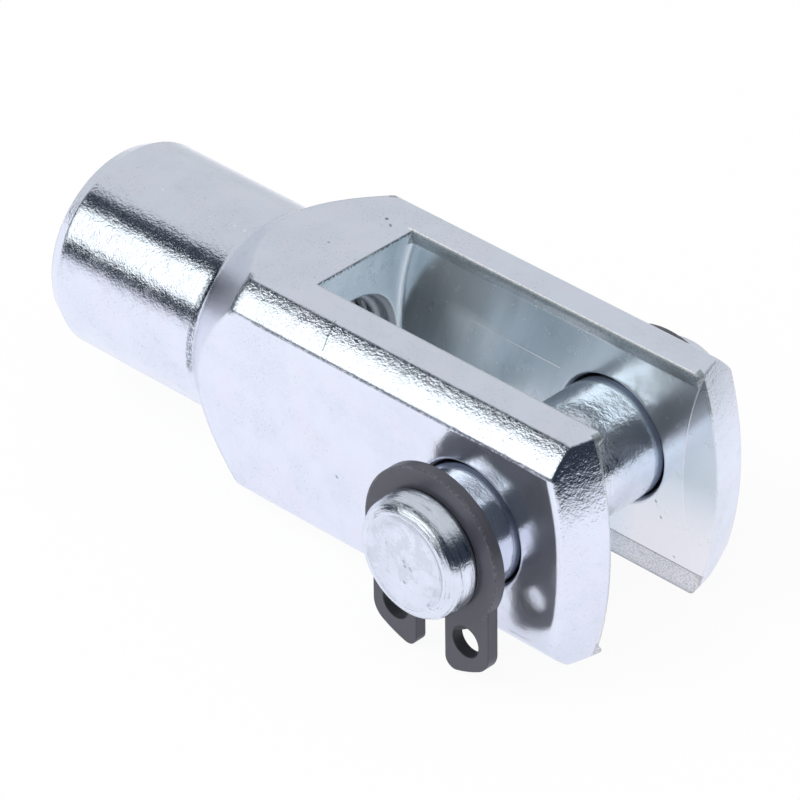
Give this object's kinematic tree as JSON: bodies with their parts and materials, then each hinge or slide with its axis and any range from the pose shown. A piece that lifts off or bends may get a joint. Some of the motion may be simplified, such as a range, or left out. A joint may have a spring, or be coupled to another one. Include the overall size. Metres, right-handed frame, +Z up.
{
  "type": "clevis rod end",
  "caption": "Fork head with a tapped round neck, a slotted square fork with turned corners and front, and a cross pin held by external retaining rings.",
  "frame": {"origin": "on the cross pin's axis, midway between the two ears", "axes": "+X along the rod axis towards the fork's mouth, Y along the cross pin with the near ear on -Y, +Z up; the body rests on its lower flat at z = -10 mm"},
  "size_m": [0.0576, 0.0318, 0.02],
  "materials": {
    "zinc_fork": "bright blue-white zinc plate, nearly mirror, finely scratched",
    "zinc_pin": "bright zinc plate over a turned surface",
    "phosphate_ring": "black phosphate, satin"
  },
  "bodies": {
    "fork": {"clevis_body": "zinc_fork"},
    "near_ring": {"ring_near": "phosphate_ring"},
    "pin": {"clevis_pin": "zinc_pin"},
    "far_ring": {"ring_far": "phosphate_ring"}
  },
  "joints": [
    {"name": "pin_float", "type": "slide", "parent": "fork", "child": "near_ring", "axis": [0, 1, 0], "range_m": [-0.00105, 0.00305]},
    {"name": "pin_turn", "type": "hinge", "parent": "near_ring", "child": "pin", "pos_m": [0, -0.0136, 0], "axis": [0, 1, 0], "continuous": true},
    {"name": "far_ring_turn", "type": "hinge", "parent": "pin", "child": "far_ring", "pos_m": [0, 0.0116, 0], "axis": [0, 1, 0], "continuous": true}
  ]
}
